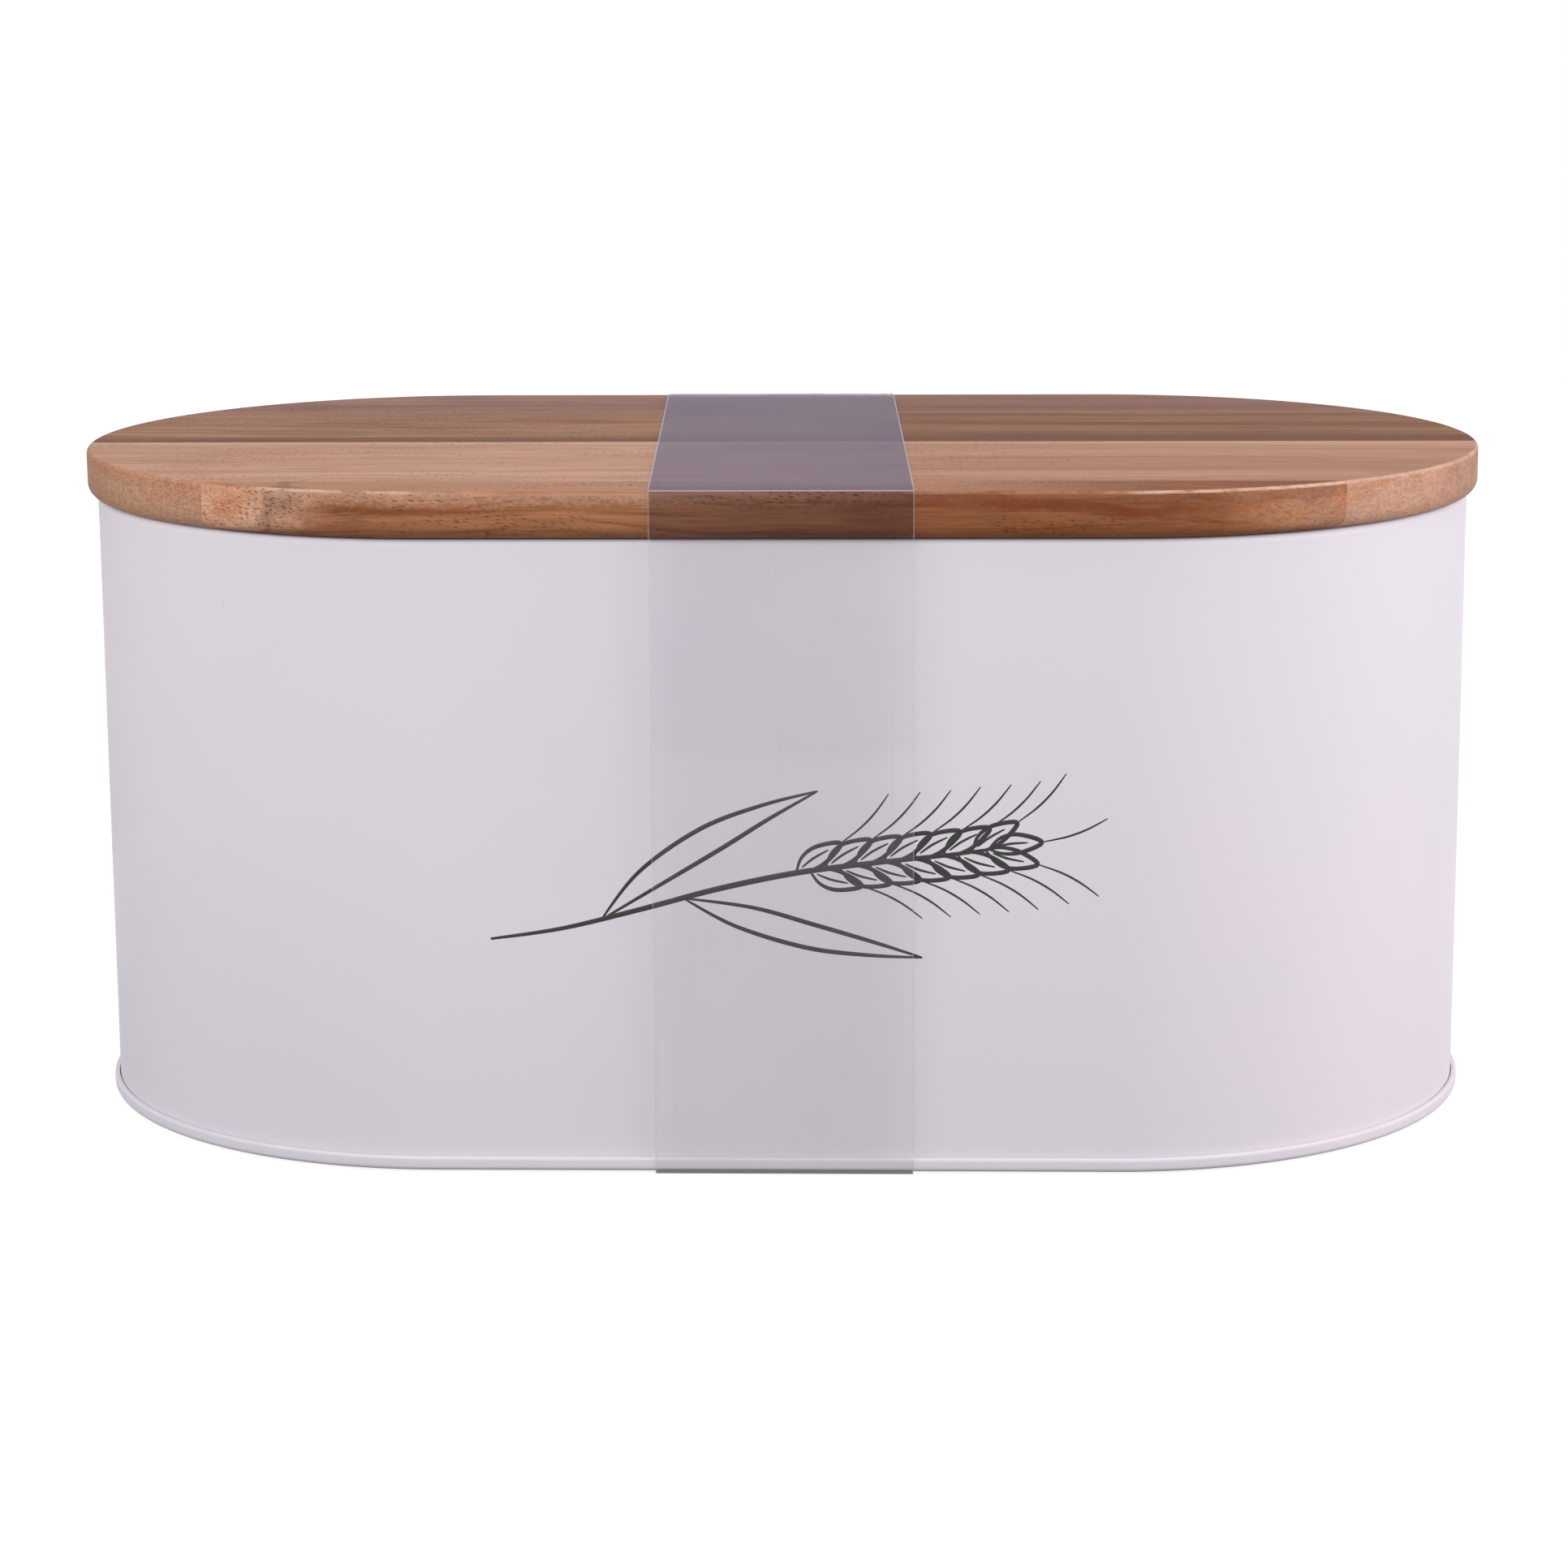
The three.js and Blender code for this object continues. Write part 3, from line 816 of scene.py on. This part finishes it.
# one clear film in lit and shaded copies: its tint is painted darker over the lid, a painted shade and
# reflection, and lighter over the wall
filmSheets = {
    "film_upper": {
        "Tint": srgb(98, 84, 117), "Haze": srgb(150, 145, 170), "faceOn": 0.06, "slanted": 0.79,
        "Rub Share": 0.12,
    },
    "film_lower": {
        "Tint": srgb(188, 184, 194), "Haze": srgb(205, 200, 215), "faceOn": 0.03, "slanted": 0.9,
        "Rub Share": 0.2, "Reflection Band From": 104 * mm, "Reflection Band Share": 0.02,
    },
}
filmTrims = {
    # painted shade: the film darker still on the lid's sides
    "filmSideShaded": {"Tint": srgb(66, 58, 70), "Haze": srgb(120, 114, 130), "faceOn": 0.13, "slanted": 0.7},
    # painted highlight along the film's cut edges
    "filmCutEdgeHighlight": {"Tint": srgb(196, 192, 208), "Haze": srgb(215, 212, 228), "faceOn": 0.18, "slanted": 0.7},
    # painted highlight on the crease over the lid's arris
    "filmCreaseHighlight": {"Tint": srgb(186, 180, 208), "Haze": srgb(205, 200, 225), "faceOn": 0.55, "slanted": 0.3},
    # greyer and less clear on the fold: doubled film and a painted shade
    "filmFoldShade": {"Tint": srgb(132, 130, 138), "Haze": srgb(160, 158, 166), "faceOn": 0.6, "slanted": 0.2},
}


def withRows(points, step):
    # long straight runs get rows in between
    filled = [points[0]]
    for last, following in zip(points, points[1:]):
        run = math.dist(last, following)
        rows = max(1, round(run / step))
        for i in range(1, rows + 1):
            filled.append([a + (b - a) * i / rows for a, b in zip(last, following)])
    return filled


def makeFilm(name, outline, look):
    half, edge = look["width"] / 2, look["edge"]
    obj = drawLine(name, [(-half, y, z) for y, z in withRows(outline, look["rowStep"])])
    bpy.ops.object.mode_set(mode="EDIT")
    bpy.ops.mesh.select_all(action="SELECT")
    for width in (edge, half - edge, half - edge, edge):
        bpy.ops.mesh.extrude_region_move(TRANSFORM_OT_translate={"value": (width, 0, 0)})
    bpy.ops.object.mode_set(mode="OBJECT")
    for vertex in obj.data.vertices:
        x, y, z = vertex.co
        sway = look["wave"] * math.sin(z / look["waveUp"]) * math.sin(y / look["waveAcross"])
        vertex.co.x += sway * x / half - look["skew"] * y
    cleanMesh(obj)
    thicken = obj.modifiers.new("filmThickness", "SOLIDIFY")
    thicken.thickness = look["thick"]
    thicken.offset = 0
    applyModifiers(obj)
    cleanMesh(obj, 0.0005 * mm)
    smoothShade(obj, 30)
    fixPlace(obj)
    return obj


def paintFilm(obj, look, materials):
    # which faces are sheet, side before the lid's edge (painted shade), cut edge and crease over its arris
    # (painted highlights), fold under the bead (doubled film and painted shade)
    obj.data.materials.clear()
    for material in materials:
        obj.data.materials.append(material)
    half = look["width"] / 2
    for face in obj.data.polygons:
        middle = face.center
        across = abs(middle.x + look["skew"] * middle.y)
        if across > half - look["edge"]:
            face.material_index = 2
        elif middle.y < 0 and middle.z > lidTop - look["bend"] and 0.72 < abs(face.normal.z) < 0.95:
            face.material_index = 3
        elif middle.z < beadFoot + look["bend"] and abs(face.normal.z) < 0.985:
            face.material_index = 4
        elif middle.z > lidUnder and abs(face.normal.z) < 0.6:
            face.material_index = 1


def upperOutline(look):
    # middle of the film, as (y, z), from the back over the top to the front
    side = lidReach + look["lift"] + look["thick"] / 2
    over = lidTop + look["lift"] + look["thick"] / 2
    end = lidUnder + look["slit"] / 2
    bend, steps = look["bend"], look["bendSteps"]
    points = [(side, end)]
    points += arcPoints(side - bend, over - bend, bend, 0, 90, steps)
    points += arcPoints(bend - side, over - bend, bend, 90, 180, steps)
    points += [(-side, end)]
    return points


def lowerOutline(look):
    # from the front under the box to the back
    sideTop = lidReach + look["lift"] + look["thick"] / 2
    side = wallDepth + baseLook["proud"] + look["lift"] + look["thick"] / 2
    end = lidUnder - look["slit"] / 2
    under = look["thick"] / 2
    bend, steps = look["bend"], look["bendSteps"]
    points = [(-sideTop, end)]
    points += arcPoints(bend - side, under + bend, bend, 180, 270, steps)
    points += arcPoints(side - bend, under + bend, bend, 270, 360, steps)
    points += [(sideTop, end)]
    return points


def makeFilmMaterial(name, look):
    sheet = {key: value for key, value in look.items() if key not in ("faceOn", "slanted")}
    material, shader, texture = newMaterial(
        name, filmTexture, sheet,
        {"Strength": 0.15, "Distance": 0.3 * mm}, {"IOR": 1.3, "Specular IOR Level": 0.02},
    )
    tree = material.node_tree

    # clearest face on, and thicker to look through where it slants away
    slant = addNode(tree, "ShaderNodeLayerWeight").outputs["Facing"]
    steep = mathNode(tree, "POWER", slant, 4.0)
    seen = mathNode(tree, "MULTIPLY_ADD", steep, look["slanted"], look["faceOn"])
    seen = mathNode(tree, "ADD", seen, texture.outputs["Cloud"], clamp=True)
    plug(tree, seen, shader.inputs["Alpha"])
    return material


filmTrimMaterials = [makeFilmMaterial(name, look) for name, look in filmTrims.items()]
for name, outline, node, body in (
    ("film_upper", upperOutline(filmLook), "band_upper", "upper_band"),
    ("film_lower", lowerOutline(filmLook), "band_lower", "lower_band"),
):
    film = makeFilm(name, outline, filmLook)
    paintFilm(film, filmLook, [makeFilmMaterial(name, filmSheets[name])] + filmTrimMaterials)
    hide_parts(node)
    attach(film, body)
print("bread box: film made")


# line ornament on the front: one ear of wheat, lying along the wall
printLook = {
    "middle": (3.5, 71.6),  # X and height of the drawing's own zero, in mm
    "proud": 0.08 * mm,
    "steps": 7,  # between two knots of a stroke
    "earFoot": (2, 0.2),
    "grainAt": (0.0, 6.8, 13.6, 20.4, 27.2, 34.0, 40.6),  # along the ear, from its foot
    "grainTurn": 25,
    "lowerLag": 3.2,  # of the lower row of grains behind the upper one
    "grain": [(0, 0), (3.2, 2.3), (7.4, 2.5), (12.4, 0), (7.6, -1.7), (3.4, -1.5), (0.3, -0.1)],
    "crease": [(1.8, 0.3), (5.2, 0.6), (9.2, 0.3)],
    "awn": [(12.2, 0.0), (18, 0.4), (23, 1.5), (28, 3.4)],
    "stem": [(-68.5, -15.5), (-52, -13), (-34, -8.5), (-16, -3.6), (2, 0.2), (20, 2.6), (38, 4.6), (46, 5.8)],
    "leaves": [
        [(-43, -11), (-34, 0.5), (-20, 10.5), (-6, 16), (7, 19.4)],
        [(-43, -11), (-29, -2.5), (-15, 6), (-4, 13), (7, 19.4)],
        [(-24, -5.8), (-12, -12.4), (4, -17.4), (18, -19.2), (31, -19.8)],
        [(-24, -5.8), (-8, -8), (6, -12), (20, -16.2), (31, -19.8)],
    ],
}
inkLook = {
    "Cool": srgb(12, 12, 14), "Warm": srgb(24, 23, 25), "Roughness Low": 0.38, "Roughness High": 0.5,
    "Speck Share": 0.0,
}


def smoothRun(knots, steps):
    # an even curve through the knots
    run = []
    padded = [knots[0]] + list(knots) + [knots[-1]]
    for a, b, c, d in zip(padded, padded[1:], padded[2:], padded[3:]):
        for i in range(steps):
            t = i / steps
            run.append([
                0.5 * (2 * q + (r - p) * t + (2 * p - 5 * q + 4 * r - s) * t * t
                       + (3 * q - p - 3 * r + s) * t ** 3)
                for p, q, r, s in zip(a, b, c, d)
            ])
    run.append(list(knots[-1]))
    return run


def drawStroke(name, knots, thin, thick, look):
    # a pen stroke: thin where it starts and ends, thick between
    run = smoothRun(knots, look["steps"])
    obj = drawLine(name, [(x * mm, 0, z * mm) for x, z in run])
    workOn(obj)
    bpy.ops.object.convert(target="CURVE")
    obj = bpy.context.object
    obj.data.bevel_depth = mm
    obj.data.bevel_resolution = 2
    obj.data.use_fill_caps = True
    points = obj.data.splines[0].points
    for i, point in enumerate(points):
        point.radius = thin + (thick - thin) * math.sin(math.pi * i / (len(points) - 1)) ** 0.8
    bpy.ops.object.convert(target="MESH")
    return bpy.context.object


def copyPiece(obj, name, place, turn, flip=False):
    twin = obj.copy()
    twin.data = obj.data.copy()
    twin.name = name
    scene.collection.objects.link(twin)
    twin.location = (place[0] * mm, 0, place[1] * mm)
    twin.rotation_euler = (0, -math.radians(turn), 0)
    twin.scale = (1, 1, -1 if flip else 1)
    fixPlace(twin)
    return twin


def joinPieces(pieces, name):
    deselectAll()
    for obj in pieces:
        obj.select_set(True)
    bpy.context.view_layer.objects.active = pieces[0]
    bpy.ops.object.join()
    pieces[0].name = name
    pieces[0].data.name = name
    return pieces[0]


def pointAlong(run, foot, away):
    # the place and slope on a run of points, this far from the foot of the ear
    start = min(range(len(run)), key=lambda i: math.dist(run[i], foot))
    for last, following in zip(run[start:], run[start + 1:]):
        step = math.dist(last, following)
        if away <= step:
            share = away / step
            place = [a + (b - a) * share for a, b in zip(last, following)]
            return place, math.degrees(math.atan2(following[1] - last[1], following[0] - last[0]))
        away -= step
    return run[-1], math.degrees(math.atan2(run[-1][1] - run[-2][1], run[-1][0] - run[-2][0]))


def makePrint(look):
    grain = joinPieces(
        [
            drawStroke("grainOutline", look["grain"], 0.2, 0.55, look),
            drawStroke("grainCrease", look["crease"], 0.14, 0.3, look),
            drawStroke("grainAwn", look["awn"], 0.12, 0.26, look),
        ],
        "oneGrain",
    )
    strokes = [drawStroke("stem", look["stem"], 0.3, 0.7, look)]
    for knots in look["leaves"]:
        strokes.append(drawStroke("leafSide", knots, 0.2, 0.55, look))
    axis = smoothRun(look["stem"], look["steps"])
    for away in look["grainAt"]:
        place, slope = pointAlong(axis, look["earFoot"], away)
        strokes.append(copyPiece(grain, "grainUp", place, slope + look["grainTurn"]))
        place, slope = pointAlong(axis, look["earFoot"], away + look["lowerLag"])
        strokes.append(copyPiece(grain, "grainDown", place, slope - look["grainTurn"], flip=True))
    strokes.append(copyPiece(grain, "grainTip", axis[-1], 8))
    bpy.data.objects.remove(grain)
    obj = joinPieces(strokes, "front_ornament")
    workOn(obj)
    bpy.ops.object.mode_set(mode="EDIT")
    bpy.ops.mesh.select_all(action="SELECT")
    bpy.ops.mesh.normals_make_consistent(inside=False)
    flatten = look["proud"] / (0.55 * mm)  # the strokes are round so far
    bpy.ops.transform.resize(value=(1, flatten, 1), center_override=(0, 0, 0))
    bpy.ops.transform.translate(value=(look["middle"][0] * mm, -wallDepth, look["middle"][1] * mm))
    bpy.ops.object.mode_set(mode="OBJECT")
    smoothShade(obj, 60)
    fixPlace(obj)
    return obj


inkBlack = newMaterial("inkBlack", coatTexture, inkLook, {"Strength": 0.1, "Distance": 0.02 * mm}, {})[0]
frontPrint = makePrint(printLook)
dress(frontPrint, inkBlack)
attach(frontPrint, "box")
print("bread box: front ornament made")


# stage: pale floor, soft lamps, camera
stageLook = {
    "floorReach": 1.5,  # radius of the round floor; the room past it is white
    "floorTone": (0.24, 0.235, 0.24, 1.0),
    "glowNear": 0.87,  # what the camera sees added on the floor, at the box and far from it
    "glowFar": 1.0,
    "glowFrom": 0.3,
    "glowTo": 1.35,
    "fillTone": (0.96, 0.95, 0.98, 1.0),
    "fill": 0.25,
}


def seenWhite(tree):
    # 1 for the camera and for what gloss and clear film show, 0 for light on the box
    path = addNode(tree, "ShaderNodeLightPath").outputs
    both = mathNode(tree, "MAXIMUM", path["Is Glossy Ray"], path["Is Transmission Ray"])
    return mathNode(tree, "MAXIMUM", path["Is Camera Ray"], both)


def makeFloor(look):
    deselectAll()
    bpy.ops.mesh.primitive_circle_add(
        vertices=96, radius=look["floorReach"], fill_type="NGON", location=(0, 0, -0.0005 * mm)
    )
    floor = bpy.context.object
    floor.name = "floor_pale"
    material = bpy.data.materials.new("floorPale")
    material.use_nodes = True
    tree = material.node_tree
    shader = tree.nodes["Principled BSDF"]
    shader.inputs["Base Color"].default_value = look["floorTone"]
    shader.inputs["Roughness"].default_value = 0.9
    shader.inputs["Specular IOR Level"].default_value = 0.0
    coords = addNode(tree, "ShaderNodeTexCoord").outputs["Object"]
    away = addNode(tree, "ShaderNodeVectorMath", coords, operation="LENGTH").outputs["Value"]
    bright = rangeNode(tree, away, look["glowFrom"], look["glowTo"], look["glowNear"], look["glowFar"])
    glow = addNode(tree, "ShaderNodeEmission")
    plug(tree, timesNode(tree, seenWhite(tree), bright), glow.inputs["Strength"])
    both = addNode(tree, "ShaderNodeAddShader", shader.outputs[0], glow.outputs[0]).outputs[0]
    plug(tree, both, tree.nodes["Material Output"].inputs["Surface"])
    floor.data.materials.append(material)


def makeWorld(look):
    world = bpy.data.worlds.new("softRoom")
    scene.world = world
    world.use_nodes = True
    tree = world.node_tree
    fill = tree.nodes["Background"]
    fill.inputs["Color"].default_value = look["fillTone"]
    fill.inputs["Strength"].default_value = look["fill"]
    white = addNode(tree, "ShaderNodeBackground", (1, 1, 1, 1)).outputs[0]
    mix = addNode(tree, "ShaderNodeMixShader", seenWhite(tree), fill.outputs[0], white).outputs[0]
    plug(tree, mix, tree.nodes["World Output"].inputs["Surface"])


lampLooks = {
    "leftSoft": {
        "place": (-0.95, -0.55, 0.45), "size": (0.5, 0.5), "watts": 4.75, "tone": (1.0, 0.975, 0.985),
    },
    "frontSoft": {
        "place": (-0.25, -1.0, 0.6), "size": (0.5, 0.5), "watts": 4.2, "tone": (1.0, 0.985, 0.98),
    },
    "rightSoft": {
        "place": (0.9, -0.6, 0.45), "size": (0.5, 0.5), "watts": 4.0, "tone": (1.0, 0.975, 0.985),
    },
    "sideSoft": {
        "place": (1.1, -0.2, 0.45), "size": (0.5, 0.5), "watts": 5.4, "tone": (1.0, 0.945, 0.955),
    },
    "topSoft": {
        "place": (0.0, 0.1, 1.3), "size": (1.3, 0.9), "watts": 3.6, "tone": (1.0, 0.985, 0.985),
    },
    "backLow": {
        "place": (0.0, 0.95, 0.085), "size": (0.6, 0.14), "watts": 5.5, "tone": (1.0, 0.985, 0.985),
    },
}


def makeLamps(looks):
    aim = Vector((0, 0, 80 * mm))  # the box's middle
    for name, look in looks.items():
        deselectAll()
        bpy.ops.object.light_add(type="AREA", location=look["place"])
        lamp = bpy.context.object
        lamp.name = name
        lamp.data.shape = "RECTANGLE"
        lamp.data.size, lamp.data.size_y = look["size"]
        lamp.data.energy = look["watts"]
        lamp.data.color = look["tone"]
        lamp.visible_camera = False
        lamp.rotation_euler = (aim - Vector(look["place"])).to_track_quat("-Z", "Y").to_euler()


cameraLook = {
    "place": (0.02969, -1.02847, 0.29559),
    "turn": (77.82915, 0.28757, 1.5734),
    "lens": 96.7545,
    "sensor": 36,
}


def makeCamera(look):
    deselectAll()
    bpy.ops.object.camera_add(location=look["place"])
    camera = bpy.context.object
    camera.name = "photoCamera"
    camera.rotation_euler = [math.radians(part) for part in look["turn"]]
    camera.data.lens = look["lens"]
    camera.data.sensor_width = look["sensor"]
    camera.data.dof.use_dof = False
    scene.camera = camera


makeFloor(stageLook)
makeWorld(stageLook)
makeLamps(lampLooks)
makeCamera(cameraLook)
print("bread box: stage set")
